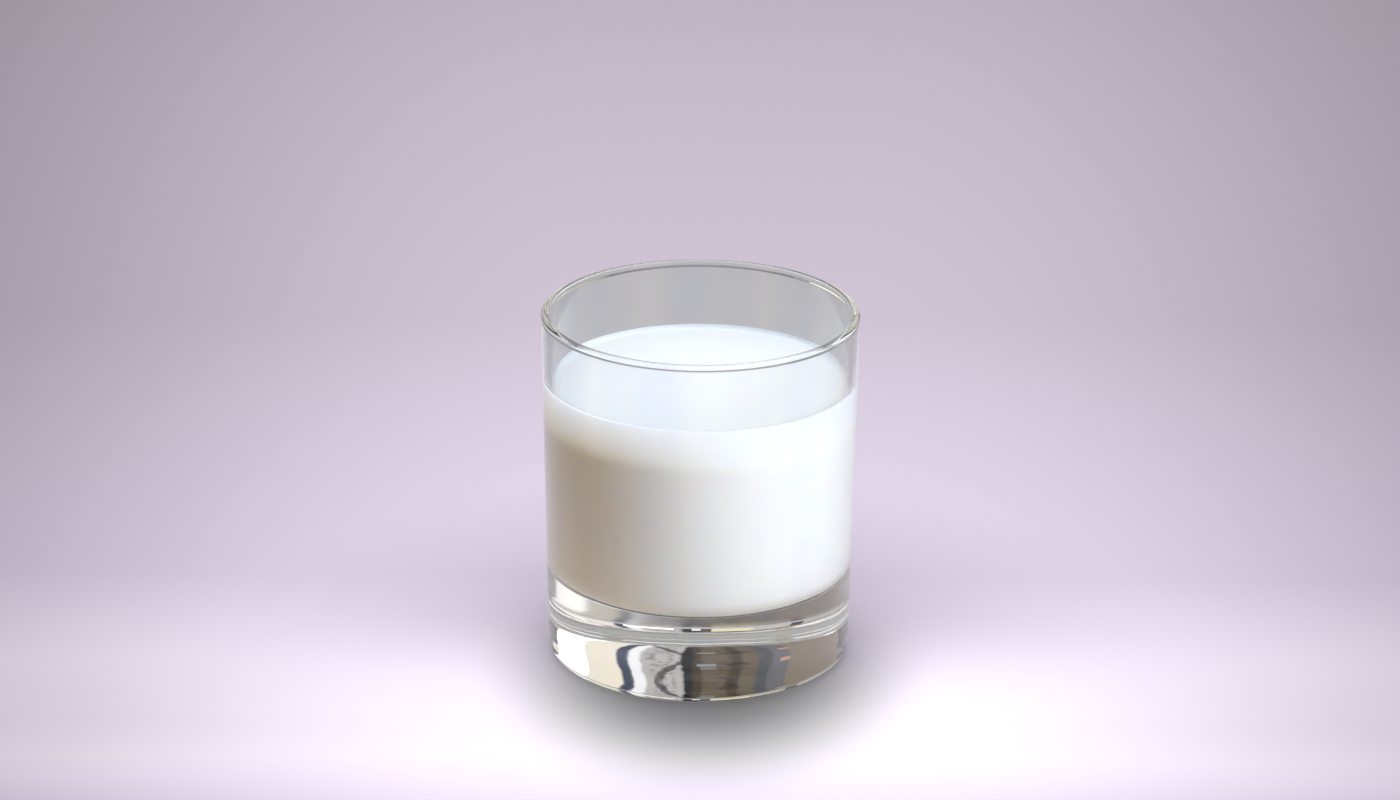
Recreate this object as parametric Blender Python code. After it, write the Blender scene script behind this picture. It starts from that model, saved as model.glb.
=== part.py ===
"""Glass of milk: a straight-sided, heavy-based tumbler and the milk that fills it to near the rim.

Metres, +Z up. The origin is the middle of the foot, on the surface the glass stands on.
"""
import math

import bmesh
import bpy

MM = 0.001

# Outside of the tumbler
RIM_RADIUS = 41.0 * MM
BASE_RADIUS = 39.1 * MM
HEIGHT = 94.0 * MM

# Heel: a quarter ellipse from the wall to the standing ring, flatter than it is tall
HEEL_WIDTH = 6.1 * MM
HEEL_HEIGHT = 4.1 * MM

# Inside of the tumbler: a thick base and walls that thin towards the lip
LIP_THICKNESS = 1.9 * MM
WALL_THICKNESS_LOW = 2.6 * MM
FLOOR_HEIGHT = 23.5 * MM
FLOOR_DISH = 0.5 * MM
CORNER_RADIUS = 4.6 * MM

# Underside: a flat standing ring round a shallow hollow
RING_WIDTH = 4.5 * MM
HOLLOW_DEPTH = 1.0 * MM

# Milk: the level, the film it draws up the wall, and the clearance to the glass
MILK_LEVEL = 75.4 * MM
MENISCUS_RISE = 1.0 * MM
MENISCUS_WIDTH = 3.0 * MM
MENISCUS_TOP = 0.3 * MM
CLEARANCE = 0.3 * MM

# How finely the turned profiles are divided
TURN_STEPS = 80
WALL_STEPS = 4
ARC_STEPS = 8
DISH_STEPS = 5
MERGE_DISTANCE = 0.01 * MM


def arc(centre, width, height, start_degrees, end_degrees):
    """Points (r, z) along an arc of an ellipse with these half-axes, in the profile plane."""
    points = []
    for step in range(ARC_STEPS + 1):
        angle = math.radians(start_degrees + (end_degrees - start_degrees) * step / ARC_STEPS)
        points.append((centre[0] + width * math.cos(angle), centre[1] + height * math.sin(angle)))
    return points


def dish(radius, height_middle, height_edge):
    """Points from the axis out to a radius, on a smooth curve that is level at both ends."""
    points = []
    for step in range(DISH_STEPS + 1):
        share = step / DISH_STEPS
        rise = 0.5 - 0.5 * math.cos(math.pi * share)
        points.append((radius * share, height_middle + (height_edge - height_middle) * rise))
    return points


def between(start, end):
    """Points strictly between two profile points, evenly spaced along a straight wall."""
    points = []
    for step in range(1, WALL_STEPS):
        share = step / WALL_STEPS
        points.append((start[0] + (end[0] - start[0]) * share, start[1] + (end[1] - start[1]) * share))
    return points


def outer_radius(height):
    """Radius of the outer wall, which tapers evenly from the rim to the base."""
    return BASE_RADIUS + (RIM_RADIUS - BASE_RADIUS) * height / HEIGHT


def inner_radius(height):
    """Radius of the inner wall: the glass thins evenly from the corner up to the lip."""
    low = FLOOR_HEIGHT + CORNER_RADIUS
    share = (height - low) / (HEIGHT - low)
    thickness = WALL_THICKNESS_LOW + (LIP_THICKNESS - WALL_THICKNESS_LOW) * share
    return outer_radius(height) - thickness


def corner_centre():
    """Centre of the rounded corner between the inner wall and the floor."""
    height = FLOOR_HEIGHT + CORNER_RADIUS
    return (inner_radius(height) - CORNER_RADIUS, height)


def tumbler_profile():
    """Closed section of the glass, from the middle of its floor over the lip to its underside."""
    lip_radius = LIP_THICKNESS / 2
    lip_centre = (RIM_RADIUS - lip_radius, HEIGHT - lip_radius)
    heel_centre = (outer_radius(HEEL_HEIGHT) - HEEL_WIDTH, HEEL_HEIGHT)
    ring_inner = heel_centre[0] - RING_WIDTH

    floor = dish(corner_centre()[0], FLOOR_HEIGHT - FLOOR_DISH, FLOOR_HEIGHT)
    corner = arc(corner_centre(), CORNER_RADIUS, CORNER_RADIUS, -90, 0)[1:]
    lip = arc(lip_centre, lip_radius, lip_radius, 180, 0)
    heel = arc(heel_centre, HEEL_WIDTH, HEEL_HEIGHT, 0, -90)
    hollow = dish(ring_inner, HOLLOW_DEPTH, 0.0)[::-1]
    return floor + corner + between(corner[-1], lip[0]) + lip + between(lip[-1], heel[0]) + heel + hollow


def milk_profile():
    """Section of the milk, from the middle of its surface down the wall to the glass floor."""
    top = MILK_LEVEL + MENISCUS_RISE
    edge = inner_radius(top) - CLEARANCE
    film = edge - MENISCUS_TOP

    surface = [(0.0, MILK_LEVEL)]
    for step in range(ARC_STEPS + 1):
        share = step / ARC_STEPS
        radius = film - MENISCUS_WIDTH * (1 - share)
        surface.append((radius, MILK_LEVEL + MENISCUS_RISE * share ** 3))
    surface.append((edge, top))

    corner_radius = CORNER_RADIUS - CLEARANCE
    corner = arc(corner_centre(), corner_radius, corner_radius, 0, -90)
    middle = FLOOR_HEIGHT - FLOOR_DISH + CLEARANCE
    floor = dish(corner_centre()[0], middle, FLOOR_HEIGHT + CLEARANCE)[:-1][::-1]
    return surface + between(surface[-1], corner[0]) + corner + floor


def glass_material():
    """Clear pressed glass with the faint green-grey of its edges."""
    material = bpy.data.materials.new("clear_glass")
    material.use_nodes = True
    shader = material.node_tree.nodes["Principled BSDF"]
    shader.inputs["Base Color"].default_value = (0.86, 0.9, 0.88, 1.0)
    shader.inputs["Roughness"].default_value = 0.02
    shader.inputs["Metallic"].default_value = 0.0
    shader.inputs["IOR"].default_value = 1.52
    shader.inputs["Transmission Weight"].default_value = 1.0
    return material


def milk_material():
    """Cool white whole milk."""
    material = bpy.data.materials.new("whole_milk")
    material.use_nodes = True
    shader = material.node_tree.nodes["Principled BSDF"]
    shader.inputs["Base Color"].default_value = (0.86, 0.88, 0.9, 1.0)
    shader.inputs["Roughness"].default_value = 0.25
    shader.inputs["Metallic"].default_value = 0.0
    return material


def turned(name, profile, material):
    """A smooth solid of revolution about +Z, from a profile that runs down its outer side."""
    mesh = bpy.data.meshes.new(name)
    shape = bmesh.new()
    vertices = [shape.verts.new((radius, 0.0, height)) for radius, height in profile]
    for first, second in zip(vertices, vertices[1:]):
        shape.edges.new((first, second))
    shape.to_mesh(mesh)
    shape.free()
    mesh.materials.append(material)

    solid = bpy.data.objects.new(name, mesh)
    bpy.context.collection.objects.link(solid)
    screw = solid.modifiers.new("turn", "SCREW")
    screw.axis = "Z"
    screw.angle = math.tau
    screw.steps = TURN_STEPS
    screw.render_steps = TURN_STEPS
    screw.use_merge_vertices = True
    screw.merge_threshold = MERGE_DISTANCE
    screw.use_smooth_shade = True
    return solid


def main():
    for leftover in list(bpy.data.objects):
        bpy.data.objects.remove(leftover)
    turned("tumbler", tumbler_profile(), glass_material())
    turned("milk", milk_profile(), milk_material())


main()
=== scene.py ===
"""Glass of milk: a heavy-based tumbler of clear pressed glass, filled with whole milk to near the rim.

The glass and the milk are turned again here with fine steps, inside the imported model's own box.
"""
import math

import bpy
from mathutils import Matrix, Vector


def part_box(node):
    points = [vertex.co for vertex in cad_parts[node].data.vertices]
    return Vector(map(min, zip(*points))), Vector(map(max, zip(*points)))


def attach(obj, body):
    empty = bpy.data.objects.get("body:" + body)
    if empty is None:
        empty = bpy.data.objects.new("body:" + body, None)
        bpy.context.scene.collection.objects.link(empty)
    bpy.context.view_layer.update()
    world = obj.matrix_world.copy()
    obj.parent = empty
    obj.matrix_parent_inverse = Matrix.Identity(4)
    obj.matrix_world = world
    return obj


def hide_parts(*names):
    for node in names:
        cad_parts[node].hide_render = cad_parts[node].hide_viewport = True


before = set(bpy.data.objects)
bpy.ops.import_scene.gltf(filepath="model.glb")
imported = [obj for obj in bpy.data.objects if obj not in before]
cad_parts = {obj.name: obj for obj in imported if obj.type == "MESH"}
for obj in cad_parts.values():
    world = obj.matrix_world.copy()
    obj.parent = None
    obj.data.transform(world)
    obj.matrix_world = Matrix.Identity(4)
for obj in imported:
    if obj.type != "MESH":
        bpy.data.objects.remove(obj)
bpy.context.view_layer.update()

MM = 0.001

# Outside of the tumbler, read from the frame
RIM_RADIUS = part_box("tumbler")[1].x
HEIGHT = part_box("tumbler")[1].z
BASE_RADIUS = 39.1 * MM
HEEL_WIDTH = 6.1 * MM
HEEL_HEIGHT = 4.1 * MM

# Inside of the tumbler and its underside
LIP_THICKNESS = 1.9 * MM
LIP_INNER_ROUND = 0.5 * MM
LIP_OUTER_ROUND = 1.0 * MM
WALL_THICKNESS_LOW = 2.6 * MM
BEAD_DEPTH = 0.4 * MM
BEAD_BELOW_RIM = (2.1 * MM, 0.9 * MM)
FLOOR_HEIGHT = 23.5 * MM
FLOOR_DISH = 0.5 * MM
CORNER_RADIUS = 4.6 * MM
RING_WIDTH = 4.5 * MM
HOLLOW_DEPTH = 1.0 * MM

# The milk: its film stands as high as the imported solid, and its sides reach just into the glass
FILM_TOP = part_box("milk")[1].z
MENISCUS_RISE = 1.0 * MM
MENISCUS_WIDTH = 3.0 * MM
MILK_LEVEL = FILM_TOP - MENISCUS_RISE
INTO_GLASS = 0.12 * MM
SPILL_DEPTH = 11 * MM

# How finely the profiles are divided
TURN_STEPS = 300
ARC_STEPS = 22
WALL_STEPS = 14
DISH_STEPS = 22
BEAD_STEPS = 16

# Camera: the photograph's viewing angle
CAMERA_DISTANCE = 1.67485
CAMERA_ELEVATION = math.radians(21.60)
CAMERA_PITCH = math.radians(20.876)
CAMERA_ROLL = math.radians(0.40)
CAMERA_LENS = 166.19
CAMERA_TARGET_HEIGHT = HEIGHT / 2

# Stage
FLOOR_DROP = 0.05 * MM
FLOOR_RADIUS = 7.0
PLATE_RADIUS, PLATE_SOLID = 78 * MM, 58.5 * MM
PLATE_ROUGHNESS, PLATE_GLOSS = 0.22, 0.5
CARD_RADIUS = 4.0
CARD_COLUMN, CARD_LINE = 3, 5
LIGHT_BOUNCES = 24
MILK_MIDDLE = 0.05


def linear(hex_colour):
    """The linear RGBA of an sRGB colour written as #rrggbb."""
    parts = [int(hex_colour[place:place + 2], 16) / 255 for place in (1, 3, 5)]
    return tuple(p / 12.92 if p <= 0.04045 else ((p + 0.055) / 1.055) ** 2.4 for p in parts) + (1.0,)


def add(tree, kind, inputs=None, stops=None, **settings):
    """Adds a node with its settings. An input is a value or another node's output, and stops fill a ramp."""
    node = tree.nodes.new(kind)
    for name, value in settings.items():
        setattr(node, name, value)
    for number, (place, hex_colour) in enumerate(stops or []):
        if number < 2:
            node.color_ramp.elements[number].position = place
        else:
            node.color_ramp.elements.new(place)
        node.color_ramp.elements[number].color = linear(hex_colour)
    for name, value in (inputs or {}).items():
        socket = node.inputs[name]
        if isinstance(value, bpy.types.NodeSocket):
            tree.links.new(value, socket)
        else:
            socket.default_value = value
    return node


def new_material(name):
    """An empty material with its output node."""
    material = bpy.data.materials.new(name)
    material.use_nodes = True
    tree = material.node_tree
    tree.nodes.clear()
    return material, tree, tree.nodes.new("ShaderNodeOutputMaterial")


# Shapes

def arc(centre, width, height, start_degrees, end_degrees, steps=ARC_STEPS):
    """Points (r, z) along an arc of an ellipse with these half-axes."""
    points = []
    for step in range(steps + 1):
        angle = math.radians(start_degrees + (end_degrees - start_degrees) * step / steps)
        points.append((centre[0] + width * math.cos(angle), centre[1] + height * math.sin(angle)))
    return points


def dish(radius, height_middle, height_edge):
    """Points from the axis out to a radius, on a smooth curve that is level at both ends."""
    points = []
    for step in range(DISH_STEPS + 1):
        share = step / DISH_STEPS
        rise = 0.5 - 0.5 * math.cos(math.pi * share)
        points.append((radius * share, height_middle + (height_edge - height_middle) * rise))
    return points


def between(start, end, steps=WALL_STEPS):
    """Points strictly between two profile points, closer together near both ends."""
    points = []
    for step in range(1, steps):
        share = 0.5 - 0.5 * math.cos(math.pi * step / steps)
        points.append((start[0] + (end[0] - start[0]) * share, start[1] + (end[1] - start[1]) * share))
    return points


def outer_radius(height):
    """Radius of the outer wall, which tapers evenly from the rim to the base."""
    return BASE_RADIUS + (RIM_RADIUS - BASE_RADIUS) * height / HEIGHT


def inner_radius(height):
    """Radius of the inner wall: the glass thins evenly from the corner up to the lip."""
    low = FLOOR_HEIGHT + CORNER_RADIUS
    share = (height - low) / (HEIGHT - low)
    return outer_radius(height) - WALL_THICKNESS_LOW - (LIP_THICKNESS - WALL_THICKNESS_LOW) * share


def corner_centre():
    """Centre of the rounded corner between the inner wall and the floor."""
    height = FLOOR_HEIGHT + CORNER_RADIUS
    return (inner_radius(height) - CORNER_RADIUS, height)


def bead():
    """Points up the inside of the rim, where fire-polishing has drawn the glass into a slight bead."""
    low, high = (HEIGHT - below for below in BEAD_BELOW_RIM)
    points = []
    for step in range(BEAD_STEPS + 1):
        share = step / BEAD_STEPS
        height = low + (high - low) * share
        points.append((inner_radius(height) - BEAD_DEPTH * (0.5 - 0.5 * math.cos(math.pi * share)), height))
    return points


def tumbler_profile():
    """Closed section of the glass, from the middle of its floor over the lip to its underside."""
    crest_radius = RIM_RADIUS - LIP_THICKNESS - BEAD_DEPTH + LIP_INNER_ROUND
    lip_inside = (crest_radius, HEIGHT - LIP_INNER_ROUND)
    lip_outside = (crest_radius, HEIGHT - LIP_OUTER_ROUND)
    heel_centre = (outer_radius(HEEL_HEIGHT) - HEEL_WIDTH, HEEL_HEIGHT)
    ring_inner = heel_centre[0] - RING_WIDTH

    floor = dish(corner_centre()[0], FLOOR_HEIGHT - FLOOR_DISH, FLOOR_HEIGHT)
    corner = arc(corner_centre(), CORNER_RADIUS, CORNER_RADIUS, -90, 0)[1:]
    lip = arc(lip_inside, LIP_INNER_ROUND, LIP_INNER_ROUND, 180, 90)
    lip += arc(lip_outside, RIM_RADIUS - crest_radius, LIP_OUTER_ROUND, 90, 0)[1:]
    heel = arc(heel_centre, HEEL_WIDTH, HEEL_HEIGHT, 0, -90)
    ring = between(heel[-1], (ring_inner, 0.0), 5)
    hollow = dish(ring_inner, HOLLOW_DEPTH, 0.0)[::-1]
    wall_inside = between(corner[-1], bead()[0]) + bead()
    wall_outside = between(lip[-1], heel[0])
    return floor + corner + wall_inside + lip + wall_outside + heel + ring + hollow


def milk_profile():
    """Section of the milk, from the middle of its surface down the wall to the glass floor."""
    edge = inner_radius(FILM_TOP) + INTO_GLASS
    surface = [(0.0, MILK_LEVEL)] + between((0.0, MILK_LEVEL), (edge - MENISCUS_WIDTH, MILK_LEVEL), 8)
    for step in range(ARC_STEPS + 1):
        share = step / ARC_STEPS
        radius = edge - MENISCUS_WIDTH * (1 - share)
        surface.append((radius, MILK_LEVEL + MENISCUS_RISE * share ** 3))
    corner_radius = CORNER_RADIUS + INTO_GLASS
    corner = arc(corner_centre(), corner_radius, corner_radius, 0, -90)
    floor = dish(corner_centre()[0], FLOOR_HEIGHT - FLOOR_DISH - INTO_GLASS, FLOOR_HEIGHT - INTO_GLASS)
    return surface + between(surface[-1], corner[0]) + corner + floor[:-1][::-1]


def turned(name, profile, materials, material_of=None):
    """A smooth closed mesh of revolution about +Z. The profile runs down its outer side."""
    vertices, faces, rows = [], [], []
    for radius, height in profile:
        if radius < 1e-9:
            rows.append([len(vertices)] * TURN_STEPS)
            vertices.append((0.0, 0.0, height))
            continue
        rows.append(list(range(len(vertices), len(vertices) + TURN_STEPS)))
        for step in range(TURN_STEPS):
            angle = math.tau * step / TURN_STEPS
            vertices.append((radius * math.cos(angle), radius * math.sin(angle), height))
    for upper, lower in zip(rows, rows[1:]):
        for step in range(TURN_STEPS):
            after = (step + 1) % TURN_STEPS
            corners = [upper[step], lower[step], lower[after], upper[after]]
            faces.append(list(dict.fromkeys(corners)))
    mesh = bpy.data.meshes.new(name)
    mesh.from_pydata(vertices, [], faces)
    mesh.shade_smooth()
    for material in materials:
        mesh.materials.append(material)
    if material_of:
        for face in mesh.polygons:
            face.material_index = material_of(face)
    mesh.validate()
    piece = bpy.data.objects.new(name, mesh)
    bpy.context.scene.collection.objects.link(piece)
    return piece


# Materials of the object

GLASS_IOR, MILK_IOR = 1.51, 1.35
RELIEF = 1 * MM
FOLD_SPACING, FOLD_STRETCH = 16 * MM, 0.08
WAVE_SPACING, WAVE_STRENGTH = 14 * MM, 0.05
CLOUD_SIZE, SWELL_SIZE, SWELL_STRENGTH = 11 * MM, 25 * MM, 0.08

# How far light travels inside the milk before it comes out again
SINK_OPEN = 3 * MM
SINK_WALL_TOP, SINK_WALL_LOW = 150 * MM, 10 * MM


def clear_pressed_glass():
    """Soda-lime glass, pressed and fire-polished: clear, with a mirror-smooth skin that isn't quite even."""
    material, tree, output = new_material("clear_pressed_glass")
    place = add(tree, "ShaderNodeTexCoord")
    # Faint upright streaks, where the gob of glass folded as the plunger drew it up the mould
    upright = add(tree, "ShaderNodeVectorMath", {0: place.outputs["Object"], 1: (1.0, 1.0, FOLD_STRETCH)},
                  operation="MULTIPLY")
    folds = add(tree, "ShaderNodeTexNoise", {"Vector": upright.outputs["Vector"], "Scale": 1 / FOLD_SPACING,
                                             "Detail": 2.0})
    streaks = add(tree, "ShaderNodeValToRGB", {"Fac": folds.outputs["Fac"]},
                  [(0.38, "#f4f6fb"), (0.62, "#fffefc")])
    # The mould leaves a very shallow waviness
    waves = add(tree, "ShaderNodeTexNoise", {"Vector": place.outputs["Object"], "Scale": 1 / WAVE_SPACING,
                                             "Detail": 1.0})
    bump = add(tree, "ShaderNodeBump", {"Strength": WAVE_STRENGTH, "Distance": RELIEF,
                                        "Height": waves.outputs["Fac"]})
    glass = add(tree, "ShaderNodeBsdfPrincipled", {
        "Base Color": streaks.outputs["Color"], "Roughness": 0.0, "IOR": GLASS_IOR,
        "Transmission Weight": 1.0, "Normal": bump.outputs["Normal"]})
    through = add(tree, "ShaderNodeBsdfTransparent", {"Color": (0.93, 0.94, 0.94, 1.0)})
    path = add(tree, "ShaderNodeLightPath")
    mix = add(tree, "ShaderNodeMixShader", {0: path.outputs["Is Shadow Ray"], 1: glass.outputs["BSDF"],
                                            2: through.outputs["BSDF"]})
    tree.links.new(mix.outputs["Shader"], output.inputs["Surface"])
    return material


def milk_shader(tree, gloss, sink_top, sink_low):
    """Whole milk: light sinks into it and comes back, red deepest. It sinks furthest near the surface."""
    place = add(tree, "ShaderNodeTexCoord")
    # Cream gathers in soft clouds about a centimetre wide: barely yellower, barely duller
    clouds = add(tree, "ShaderNodeTexNoise", {"Vector": place.outputs["Object"], "Scale": 1 / CLOUD_SIZE,
                                              "Detail": 3.0, "Roughness": 0.55})
    cream = add(tree, "ShaderNodeValToRGB", {"Fac": clouds.outputs["Fac"]},
                [(0.35, "#f5f5f3"), (0.65, "#f9f7f1")])
    shine = add(tree, "ShaderNodeMapRange", {"Value": clouds.outputs["Fac"], "To Min": 0.18, "To Max": 0.26})
    # Slow, shallow swells
    swell = add(tree, "ShaderNodeTexNoise", {"Vector": place.outputs["Object"], "Scale": 1 / SWELL_SIZE})
    bump = add(tree, "ShaderNodeBump", {"Strength": SWELL_STRENGTH, "Distance": RELIEF,
                                        "Height": swell.outputs["Fac"]})
    axes = add(tree, "ShaderNodeSeparateXYZ", {"Vector": place.outputs["Object"]})
    depth = add(tree, "ShaderNodeMapRange", {"Value": axes.outputs["Z"], "From Min": MILK_LEVEL - SPILL_DEPTH,
                                             "From Max": FILM_TOP, "To Min": sink_low, "To Max": sink_top})
    return add(tree, "ShaderNodeBsdfPrincipled", {
        "Base Color": cream.outputs["Color"], "Roughness": shine.outputs["Result"], "IOR": MILK_IOR,
        "Subsurface Weight": 1.0, "Subsurface Radius": (1.0, 0.8, 0.6),
        "Subsurface Scale": depth.outputs["Result"], "Specular IOR Level": gloss,
        "Normal": bump.outputs["Normal"]})


def milk_open():
    """The free surface of the milk: smooth, wet, with a soft gloss."""
    material, tree, output = new_material("whole_milk_surface")
    milk = milk_shader(tree, 0.5, SINK_OPEN, SINK_OPEN)
    tree.links.new(milk.outputs["BSDF"], output.inputs["Surface"])
    return material


def milk_behind_glass():
    """Milk wetting the glass. Seen past 63 degrees from square the contact mirrors like a dark line."""
    material, tree, output = new_material("whole_milk_on_glass")
    milk = milk_shader(tree, 0.0, SINK_WALL_TOP, SINK_WALL_LOW)
    mirror = add(tree, "ShaderNodeBsdfGlossy", {"Color": (1, 1, 1, 1), "Roughness": 0.0})
    edge = add(tree, "ShaderNodeFresnel", {"IOR": MILK_IOR / GLASS_IOR})
    mix = add(tree, "ShaderNodeMixShader", {0: edge.outputs["Fac"], 1: milk.outputs["BSDF"],
                                            2: mirror.outputs["BSDF"]})
    tree.links.new(mix.outputs["Shader"], output.inputs["Surface"])
    return material


# Stage

# Floor tones, from a little in front of the glass to far behind it. The lavender is the floor's own colour;
# the brightness is painted light, brightest in a band just in front of the foot and darker towards the front
# edge and far behind
FLOOR_FRONT, FLOOR_BACK = -0.2, 0.8
FLOOR_TONES = [(0.0, "#c2bcd8"), (0.1, "#d0cae4"), (0.13, "#e4def2"), (0.16, "#e4def2"), (0.25, "#beb8ce"),
               (0.45, "#a29cac"), (1.0, "#847e8a")]

# Where the painted light on the floor falls off to both sides. It starts soonest in a band in front of the
# foot.
LIT_CENTRE = 8 * MM
BAND_IN_FRONT, BAND_WIDTH, BAND_NARROWING = 45 * MM, 45 * MM, 0.86
WIDENING = 0.85
FADE_START, FADE_END, FADE_LEVEL = 0.03, 0.26, 0.5

# A painted shadow in front of the foot, and painted shade beside and behind it
SHADOW_START, SHADOW_END, SHADOW_LEVEL = 33 * MM, 103 * MM, 0.2
SHADOW_NARROWING, SHADOW_SHIFT = 1.6, -2.4 * MM
SKY_REACH, SKY_SAMPLES, SKY_LEVEL = 90 * MM, 8, -0.2
FRONT_TO_BACK = 30 * MM
GREY_REACH, GREY_GAIN = 40 * MM, 2.5

# What the floor's tone is multiplied by: in the painted shadow, as light thrown at the milk, and through the
# glass
SHADOW_TINT = (0.91, 0.985, 0.87, 1.0)
THROWN_TINT = (1.15, 0.62, 0.1, 1.0)
THROUGH_TINT = (0.76, 0.83, 0.735, 1.0)


def painted_side_falloff(tree, axes):
    """Painted light across the floor: full in the middle, half far to either side."""
    from_band = add(tree, "ShaderNodeMath", {0: axes.outputs["Y"], 1: BAND_IN_FRONT}, operation="ADD")
    band_away = add(tree, "ShaderNodeMath", {0: from_band.outputs["Value"]}, operation="ABSOLUTE")
    band = add(tree, "ShaderNodeMapRange", {"Value": band_away.outputs["Value"], "From Max": BAND_WIDTH,
                                            "To Min": BAND_NARROWING}, interpolation_type="SMOOTHSTEP")
    spread = add(tree, "ShaderNodeMath", {0: axes.outputs["Y"], 1: WIDENING, 2: band.outputs["Result"]},
                 operation="MULTIPLY_ADD")
    centred = add(tree, "ShaderNodeMath", {0: axes.outputs["X"], 1: LIT_CENTRE}, operation="SUBTRACT")
    aside = add(tree, "ShaderNodeMath", {0: centred.outputs["Value"], 1: spread.outputs["Value"]},
                operation="DIVIDE")
    off = add(tree, "ShaderNodeMath", {0: aside.outputs["Value"]}, operation="ABSOLUTE")
    return add(tree, "ShaderNodeMapRange", {
        "Value": off.outputs["Value"], "From Min": FADE_START, "From Max": FADE_END, "To Min": 1.0,
        "To Max": FADE_LEVEL}, interpolation_type="SMOOTHSTEP")


def painted_front_shadow(tree, place):
    """A soft painted shadow in front of the foot, by distance from the middle, with X squeezed."""
    squeezed = add(tree, "ShaderNodeVectorMath", {
        0: place.outputs["Object"], 1: (SHADOW_NARROWING, 1.0, 0.0), 2: (SHADOW_SHIFT, 0.0, 0.0)},
        operation="MULTIPLY_ADD")
    from_axis = add(tree, "ShaderNodeVectorMath", {0: squeezed.outputs["Vector"]}, operation="LENGTH")
    return add(tree, "ShaderNodeMapRange", {
        "Value": from_axis.outputs["Value"], "From Min": SHADOW_START, "From Max": SHADOW_END,
        "To Min": SHADOW_LEVEL}, interpolation_type="SMOOTHSTEP")


def pale_floor():
    """A matt pale lavender floor, with painted light that is lightest in front of the glass, and a painted
    shadow and painted shade close round its foot.
    """
    material, tree, output = new_material("pale_floor")
    place = add(tree, "ShaderNodeTexCoord")
    axes = add(tree, "ShaderNodeSeparateXYZ", {"Vector": place.outputs["Object"]})
    # Painted light: the floor's tone is brightest just in front of the foot and darker behind
    depth = add(tree, "ShaderNodeMapRange", {"Value": axes.outputs["Y"], "From Min": FLOOR_FRONT,
                                             "From Max": FLOOR_BACK})
    tone = add(tree, "ShaderNodeValToRGB", {"Fac": depth.outputs["Result"]}, FLOOR_TONES)
    # Painted light, falling off to both sides
    fade = painted_side_falloff(tree, axes)
    # Painted shadow in front of the foot, turning into painted shade beside and behind it where an occlusion
    # test finds the glass close
    before = painted_front_shadow(tree, place)
    open_sky = add(tree, "ShaderNodeAmbientOcclusion", {"Distance": SKY_REACH}, samples=SKY_SAMPLES)
    beside = add(tree, "ShaderNodeMapRange", {"Value": open_sky.outputs["AO"], "From Min": 1.0,
                                              "From Max": 0.0, "To Min": 1.0, "To Max": SKY_LEVEL})
    contact = add(tree, "ShaderNodeMapRange", {
        "Value": axes.outputs["Y"], "From Min": -FRONT_TO_BACK, "From Max": FRONT_TO_BACK,
        "To Min": before.outputs["Result"], "To Max": beside.outputs["Result"]},
        interpolation_type="SMOOTHSTEP")
    level = add(tree, "ShaderNodeMath", {0: fade.outputs["Result"], 1: contact.outputs["Result"]},
                operation="MULTIPLY")
    shaded = add(tree, "ShaderNodeVectorMath", {0: tone.outputs["Color"], "Scale": level.outputs["Value"]},
                 operation="SCALE")
    # In front of the foot the painted shadow loses the floor's lavender and turns a neutral grey
    front = add(tree, "ShaderNodeMapRange", {"Value": axes.outputs["Y"], "From Min": 0.0,
                                             "From Max": -GREY_REACH, "To Max": GREY_GAIN})
    hidden = add(tree, "ShaderNodeMath", {0: 1.0, 1: before.outputs["Result"]}, operation="SUBTRACT")
    greyed = add(tree, "ShaderNodeMath", {0: front.outputs["Result"], 1: hidden.outputs["Value"]},
                 operation="MULTIPLY", use_clamp=True)
    neutral = add(tree, "ShaderNodeMix", {0: greyed.outputs["Value"], 6: shaded.outputs["Vector"],
                                          7: SHADOW_TINT}, data_type="RGBA", blend_type="MULTIPLY")
    # The floor throws warm light at the milk, and is duller where it shows through the glass
    path = add(tree, "ShaderNodeLightPath")
    scattered = add(tree, "ShaderNodeMath", {0: path.outputs["Diffuse Depth"], 1: 0.5},
                    operation="GREATER_THAN")
    thrown = add(tree, "ShaderNodeMix", {0: scattered.outputs["Value"], 6: neutral.outputs[2],
                                         7: THROWN_TINT}, data_type="RGBA", blend_type="MULTIPLY")
    seen = add(tree, "ShaderNodeMix", {0: path.outputs["Is Transmission Ray"], 6: thrown.outputs[2],
                                       7: THROUGH_TINT}, data_type="RGBA", blend_type="MULTIPLY")
    matt = add(tree, "ShaderNodeBsdfDiffuse", {"Color": seen.outputs[2]})
    tree.links.new(matt.outputs["BSDF"], output.inputs["Surface"])
    return material


def foot_shade_plate():
    """A dark satin plate that shows only through the glass foot: its dark tone is painted shade round the
    foot, and it mirrors the cards behind, softly.
    """
    material, tree, output = new_material("foot_shade_plate")
    place = add(tree, "ShaderNodeTexCoord")
    away = add(tree, "ShaderNodeVectorMath", {0: place.outputs["Object"]}, operation="LENGTH")
    edge = add(tree, "ShaderNodeMapRange", {"Value": away.outputs["Value"], "From Min": PLATE_SOLID,
                                            "From Max": PLATE_RADIUS}, interpolation_type="SMOOTHSTEP")
    # The plate's dark tone is painted shade round the foot
    dark = add(tree, "ShaderNodeBsdfDiffuse", {"Color": linear("#57534f")})
    gloss = add(tree, "ShaderNodeBsdfGlossy", {"Color": (1, 1, 1, 1), "Roughness": PLATE_ROUGHNESS})
    face = add(tree, "ShaderNodeMixShader", {0: PLATE_GLOSS, 1: dark.outputs["BSDF"],
                                             2: gloss.outputs["BSDF"]})
    clear = add(tree, "ShaderNodeBsdfTransparent", {"Color": (1, 1, 1, 1)})
    mix = add(tree, "ShaderNodeMixShader", {0: edge.outputs["Result"], 1: face.outputs["Shader"],
                                            2: clear.outputs["BSDF"]})
    tree.links.new(mix.outputs["Shader"], output.inputs["Surface"])
    return material


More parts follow.
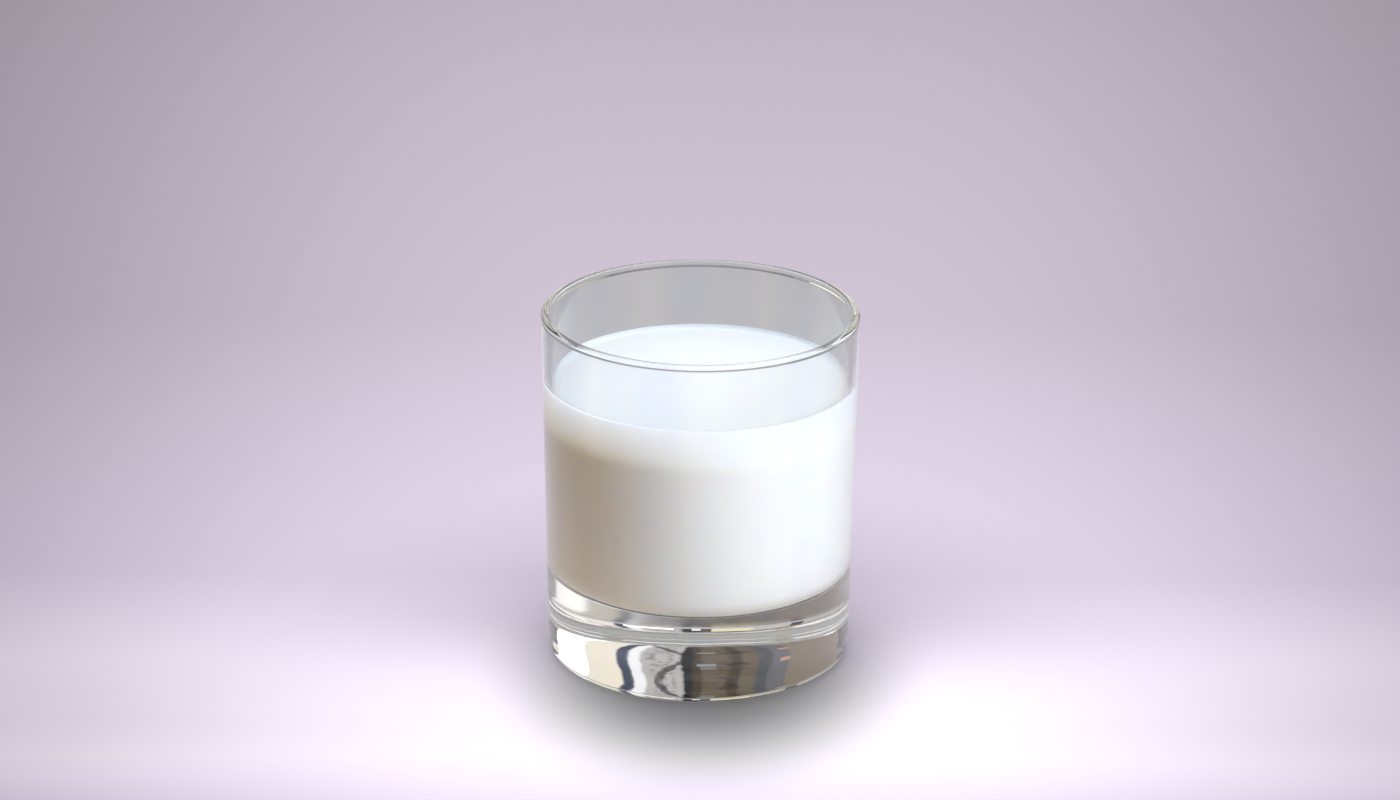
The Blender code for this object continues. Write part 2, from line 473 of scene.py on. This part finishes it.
def make_plate():
    """The back half of a disc on the floor, round the foot."""
    steps = 48
    vertices = [(PLATE_RADIUS * math.cos(math.pi * s / steps), PLATE_RADIUS * math.sin(math.pi * s / steps),
                 -FLOOR_DROP * 0.5) for s in range(steps + 1)]
    mesh = bpy.data.meshes.new("foot_shade_plate")
    mesh.from_pydata(vertices, [], [list(range(steps + 1))])
    mesh.materials.append(foot_shade_plate())
    plate = bpy.data.objects.new("foot_shade_plate", mesh)
    bpy.context.scene.collection.objects.link(plate)
    plate.visible_camera = plate.visible_diffuse = plate.visible_glossy = plate.visible_shadow = False
    return plate


def make_floor():
    """A round floor, just under the glass."""
    steps = 96
    vertices = [(FLOOR_RADIUS * math.cos(math.tau * s / steps), FLOOR_RADIUS * math.sin(math.tau * s / steps),
                 -FLOOR_DROP) for s in range(steps)]
    mesh = bpy.data.meshes.new("floor")
    mesh.from_pydata(vertices, [], [list(range(steps))])
    mesh.materials.append(pale_floor())
    floor = bpy.data.objects.new("floor", mesh)
    bpy.context.scene.collection.objects.link(floor)
    return floor


def glow(tree, output, colour, strength):
    """Makes the material shine with this colour, but only where the glass looks straight at it."""
    path = add(tree, "ShaderNodeLightPath")
    first = add(tree, "ShaderNodeMath", {0: path.outputs["Diffuse Depth"], 1: 0.5}, operation="LESS_THAN")
    power = add(tree, "ShaderNodeMath", {0: first.outputs["Value"], 1: strength}, operation="MULTIPLY")
    light = add(tree, "ShaderNodeEmission", {"Color": colour, "Strength": power.outputs["Value"]})
    tree.links.new(light.outputs["Emission"], output.inputs["Surface"])


def card_material(name, hex_colour, strength):
    """A lit card of one plain tone."""
    material, tree, output = new_material(name)
    glow(tree, output, linear(hex_colour), strength)
    return material


# The standing panels are painted in plain upright fields. Each starts at an azimuth, in degrees to the
# right of +Y, and ends where the next one starts. Their edges sway a little, because the paint isn't ruled.
PANEL_START, PANEL_END = -80.0, 75.0
PANEL_EDGE, PANEL_SWAY = 0.8, 2.0
TAUPE, UMBER, WALNUT = "#887a6a", "#685c4c", "#483c30"
SLATE, CHARCOAL, SOOT, BLACK = "#68686e", "#4c5054", "#181a1e", "#000000"
PALE_GREY, WHITE, NAVY, CREAM = "#c0bcb8", "#ffffff", "#3c465c", "#f8f0dc"
PANEL_FIELDS = [(-80, TAUPE), (-27, SLATE), (-20, CHARCOAL), (-16, UMBER), (-11, WALNUT), (-8, UMBER),
                (-1, WALNUT), (1.5, SOOT), (4, PALE_GREY), (15, WHITE), (19, NAVY), (23, CREAM)]
BLOTTED_FIELDS = [(-80, BLACK), (-12, WHITE), (-5, BLACK), (6, WHITE), (13, BLACK)]
BLOT_LEVEL = 0.55

# The dark streak: how far it leans, how ragged it is, where it stands, its half width and its tone
STREAK_LEAN, STREAK_RAGGED, STREAK_PLACE = -0.5, 6.0, -2.0
STREAK_CORE, STREAK_SIDE, STREAK_LEVEL = 0.9, 1.7, 0.25


def field_stops(fields):
    """Ramp stops for fields side by side, each of one tone, with a narrow soft edge between two."""
    ends = [start for start, tone in fields[1:]] + [PANEL_END + PANEL_EDGE / 2]
    stops = []
    for (start, tone), end in zip(fields, ends):
        for azimuth in (max(start + PANEL_EDGE / 2, PANEL_START), end - PANEL_EDGE / 2):
            stops.append(((azimuth - PANEL_START) / (PANEL_END - PANEL_START), tone))
    return stops


def standing_panels():
    """Matt panels behind the glass, painted unevenly, with a ragged dark streak across the pale one. They
    glow with their tones instead of being lit: painted light.
    """
    material, tree, output = new_material("standing_panels")
    spot = add(tree, "ShaderNodeUVMap", uv_map="bearing")
    axes = add(tree, "ShaderNodeSeparateXYZ", {"Vector": spot.outputs["UV"]})
    drift = add(tree, "ShaderNodeTexNoise", {"Vector": spot.outputs["UV"], "Scale": 0.2, "Detail": 2.0})
    bent = add(tree, "ShaderNodeMath", {0: drift.outputs["Fac"], 1: PANEL_SWAY, 2: axes.outputs["X"]},
               operation="MULTIPLY_ADD")
    along = add(tree, "ShaderNodeMapRange", {
        "Value": bent.outputs["Value"], "From Min": PANEL_START + PANEL_SWAY / 2,
        "From Max": PANEL_END + PANEL_SWAY / 2})
    tones = add(tree, "ShaderNodeValToRGB", {"Fac": along.outputs["Result"]}, field_stops(PANEL_FIELDS))
    where = add(tree, "ShaderNodeValToRGB", {"Fac": along.outputs["Result"]}, field_stops(BLOTTED_FIELDS))
    grain = add(tree, "ShaderNodeTexNoise", {"Vector": spot.outputs["UV"], "Scale": 0.35, "Detail": 4.0,
                                             "Roughness": 0.6})
    blot = add(tree, "ShaderNodeMapRange", {"Value": grain.outputs["Fac"], "From Min": 0.5, "From Max": 0.6,
                                            "To Min": 1.0, "To Max": BLOT_LEVEL})
    blotted = add(tree, "ShaderNodeMix", {0: where.outputs["Color"], 6: tones.outputs["Color"],
                                          7: blot.outputs["Result"]}, data_type="RGBA", blend_type="MULTIPLY")
    lean = add(tree, "ShaderNodeMath", {0: axes.outputs["Y"], 1: STREAK_LEAN, 2: axes.outputs["X"]},
               operation="MULTIPLY_ADD")
    ragged = add(tree, "ShaderNodeMath", {0: grain.outputs["Fac"], 1: STREAK_RAGGED,
                                          2: lean.outputs["Value"]}, operation="MULTIPLY_ADD")
    off = add(tree, "ShaderNodeMath", {0: ragged.outputs["Value"], 1: STREAK_PLACE}, operation="SUBTRACT")
    wide = add(tree, "ShaderNodeMath", {0: off.outputs["Value"]}, operation="ABSOLUTE")
    streak = add(tree, "ShaderNodeMapRange", {"Value": wide.outputs["Value"], "From Min": STREAK_CORE,
                                              "From Max": STREAK_SIDE, "To Min": STREAK_LEVEL})
    streaked = add(tree, "ShaderNodeVectorMath", {0: blotted.outputs[2], "Scale": streak.outputs["Result"]},
                   operation="SCALE")
    # The panels glow with their tones instead of being lit: painted light
    glow(tree, output, streaked.outputs["Vector"], 1.0)
    return material


def card(name, azimuth, elevation, material, radius=CARD_RADIUS):
    """A curved card between two azimuths to the right of +Y and two elevations, in degrees."""
    columns = max(2, int(abs(azimuth[1] - azimuth[0]) / CARD_COLUMN))
    lines = max(2, int(abs(elevation[1] - elevation[0]) / CARD_LINE))
    vertices, faces, bearings = [], [], []
    for line in range(lines + 1):
        up = elevation[0] + (elevation[1] - elevation[0]) * line / lines
        for column in range(columns + 1):
            turn = azimuth[0] + (azimuth[1] - azimuth[0]) * column / columns
            level = radius * math.cos(math.radians(up))
            vertices.append((level * math.sin(math.radians(turn)), level * math.cos(math.radians(turn)),
                             radius * math.sin(math.radians(up))))
            bearings.append((turn, up))
    for line in range(lines):
        for column in range(columns):
            low = line * (columns + 1) + column
            faces.append((low, low + 1, low + columns + 2, low + columns + 1))
    mesh = bpy.data.meshes.new(name)
    mesh.from_pydata(vertices, [], faces)
    # Only rays that leave the glass meet a card, so none is spent on lighting from it
    material.cycles.emission_sampling = "NONE"
    mesh.materials.append(material)
    chart = mesh.uv_layers.new(name="bearing")
    for loop in mesh.loops:
        chart.data[loop.index].uv = bearings[loop.vertex_index]
    piece = bpy.data.objects.new(name, mesh)
    bpy.context.scene.collection.objects.link(piece)
    piece.visible_camera = False
    piece.visible_diffuse = False
    piece.visible_shadow = False


# Plain cards in front of the panels: azimuths and elevations in degrees, tone, strength
CARDS = [
    ("window_white", (38, 64), (12, 60), "#fffdf6", 2.2),
    ("side_white", (-110, -60), (29, 45), "#fffdf6", 4.0),
    ("left_dark", (-92, -62), (2, 24), "#1c1a16", 1.0),
    ("right_dark", (64, 112), (2, 24), "#1c1a16", 1.0),
    ("bar_dark", (-13, -7), (19.5, 20.7), "#32291f", 1.0),
    ("bar_low", (-11, -8.2), (17.6, 19.6), "#2a241a", 1.0),
    ("sheet_blue", (-4.3, 0.3), (18.6, 21.2), "#8f949a", 1.0),
    ("sheet_grey", (-4.5, -0.5), (22.0, 24.2), "#86817c", 1.0),
    ("spot_orange", (-27, -23), (19.0, 21.4), "#c89a80", 1.0),
    ("low_yellow", (-14, -3.2), (-2, 11.5), "#f2eac0", 1.0),
    ("low_white", (-0.6, 1.6), (-2, 7), "#ffffff", 1.0),
    ("low_grey", (-70, -31), (-2, 13), "#bcbaac", 1.0),
    ("low_dark", (-31, -26), (-2, 13), "#2c2a28", 1.0),
    ("low_cream", (-26, -14), (-2, 12.5), "#fff4dc", 0.6),
    ("low_pale", (6, 20), (-2, 5), "#fff4dc", 1.8),
    ("overhead_white", (-180, 180), (62, 90), "#f4f8ff", 0.9),
    ("facing_white", (112, 248), (5, 55), "#f6f4f0", 1.0),
]


def area_light(name, place, target, size, power, colour, receivers=None, blockers=None):
    """A soft light that the glass doesn't mirror, kept to some objects and shaded by some."""
    lamp = bpy.data.lights.new(name, "AREA")
    lamp.shape = "RECTANGLE"
    lamp.size, lamp.size_y = size
    lamp.energy = power
    lamp.color = linear(colour)[:3]
    light = bpy.data.objects.new(name, lamp)
    light.location = place
    light.rotation_euler = (Vector(target) - Vector(place)).to_track_quat("-Z", "Y").to_euler()
    light.visible_glossy = False
    light.visible_transmission = False
    light.visible_camera = False
    bpy.context.scene.collection.objects.link(light)
    for part, pieces in (("receiver", receivers), ("blocker", blockers)):
        if pieces:
            group = bpy.data.collections.new(name + "_" + part)
            for piece in pieces:
                group.objects.link(piece)
            setattr(light.light_linking, part + "_collection", group)


def bearing(azimuth, elevation, distance):
    """A place round the middle of the milk. Azimuth is to the right of the camera's side, in degrees."""
    turn, up = math.radians(azimuth), math.radians(elevation)
    return (distance * math.cos(up) * math.sin(turn), -distance * math.cos(up) * math.cos(turn),
            MILK_MIDDLE + distance * math.sin(up))


def make_camera():
    """The camera of the photograph: a long lens, a little above the rim."""
    camera = bpy.data.objects.new("camera", bpy.data.cameras.new("camera"))
    camera.data.lens = CAMERA_LENS
    camera.data.sensor_width = 36.0
    camera.data.clip_start, camera.data.clip_end = 0.05, 50.0
    turn = Matrix.Rotation(math.pi / 2 - CAMERA_PITCH, 4, "X") @ Matrix.Rotation(CAMERA_ROLL, 4, "Z")
    place = Vector((0.0, -CAMERA_DISTANCE * math.cos(CAMERA_ELEVATION),
                    CAMERA_TARGET_HEIGHT + CAMERA_DISTANCE * math.sin(CAMERA_ELEVATION)))
    camera.matrix_world = Matrix.Translation(place) @ turn
    bpy.context.scene.collection.objects.link(camera)
    bpy.context.scene.camera = camera


def make_world():
    """A dim, slightly warm room tone from all round."""
    world = bpy.data.worlds.new("studio")
    world.use_nodes = True
    tree = world.node_tree
    tree.nodes.clear()
    output = tree.nodes.new("ShaderNodeOutputWorld")
    room = add(tree, "ShaderNodeBackground", {"Color": linear("#8a7855"), "Strength": 0.8})
    tree.links.new(room.outputs["Background"], output.inputs["Surface"])
    bpy.context.scene.world = world


def milk_face_kind(face):
    """0 for the free surface, 1 for the milk against glass."""
    return 0 if face.center.z > MILK_LEVEL - 0.1 * MM and face.normal.z > 0.05 else 1


scene = bpy.context.scene
scene.view_settings.view_transform = "Standard"
# Light runs down inside the glass wall by many reflections before it meets the milk
scene.cycles.max_bounces = LIGHT_BOUNCES
scene.cycles.glossy_bounces = LIGHT_BOUNCES
scene.cycles.transmission_bounces = LIGHT_BOUNCES
# Bright light that comes by way of the glass keeps its full strength
scene.cycles.sample_clamp_indirect = 0.0

tumbler = turned("tumbler_glass", tumbler_profile(), [clear_pressed_glass()])
milk = turned("milk_body", milk_profile(), [milk_open(), milk_behind_glass()], milk_face_kind)
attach(tumbler, "root")
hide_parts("tumbler")
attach(milk, "root")
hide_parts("milk")

floor = make_floor()
plate = make_plate()
card("standing_panels", (PANEL_START, PANEL_END), (-2, 60), standing_panels())
for name, azimuth, elevation, hex_colour, strength in CARDS:
    card(name, azimuth, elevation, card_material(name, hex_colour, strength), CARD_RADIUS * 0.95)
make_world()
glass_of_milk = [milk, tumbler]
area_light("floor_ceiling", (0.0, 0.0, 1.6), (0, 0, 0), (5.0, 5.0), 57.5, "#ffffff", [floor, plate])
area_light("floor_softbox", (0.0, 0.73, 1.43), (0, 0, 0), (1.0, 0.7), 25.9, "#ffffff", [floor, plate],
           [floor])
area_light("milk_key", bearing(47, 30, 0.6), (0, 0, 0.06), (0.45, 0.4), 4.75, "#dfedff", glass_of_milk)
area_light("milk_top", (-0.3, 0.42, 0.95), (0, 0, 0.07), (0.8, 0.8), 10.7, "#e8f1fc", glass_of_milk)
area_light("milk_under", (-0.12, -0.03, -0.25), (0, 0, 0.02), (0.3, 0.3), 0.48, "#eefaff", glass_of_milk,
           glass_of_milk)
make_camera()
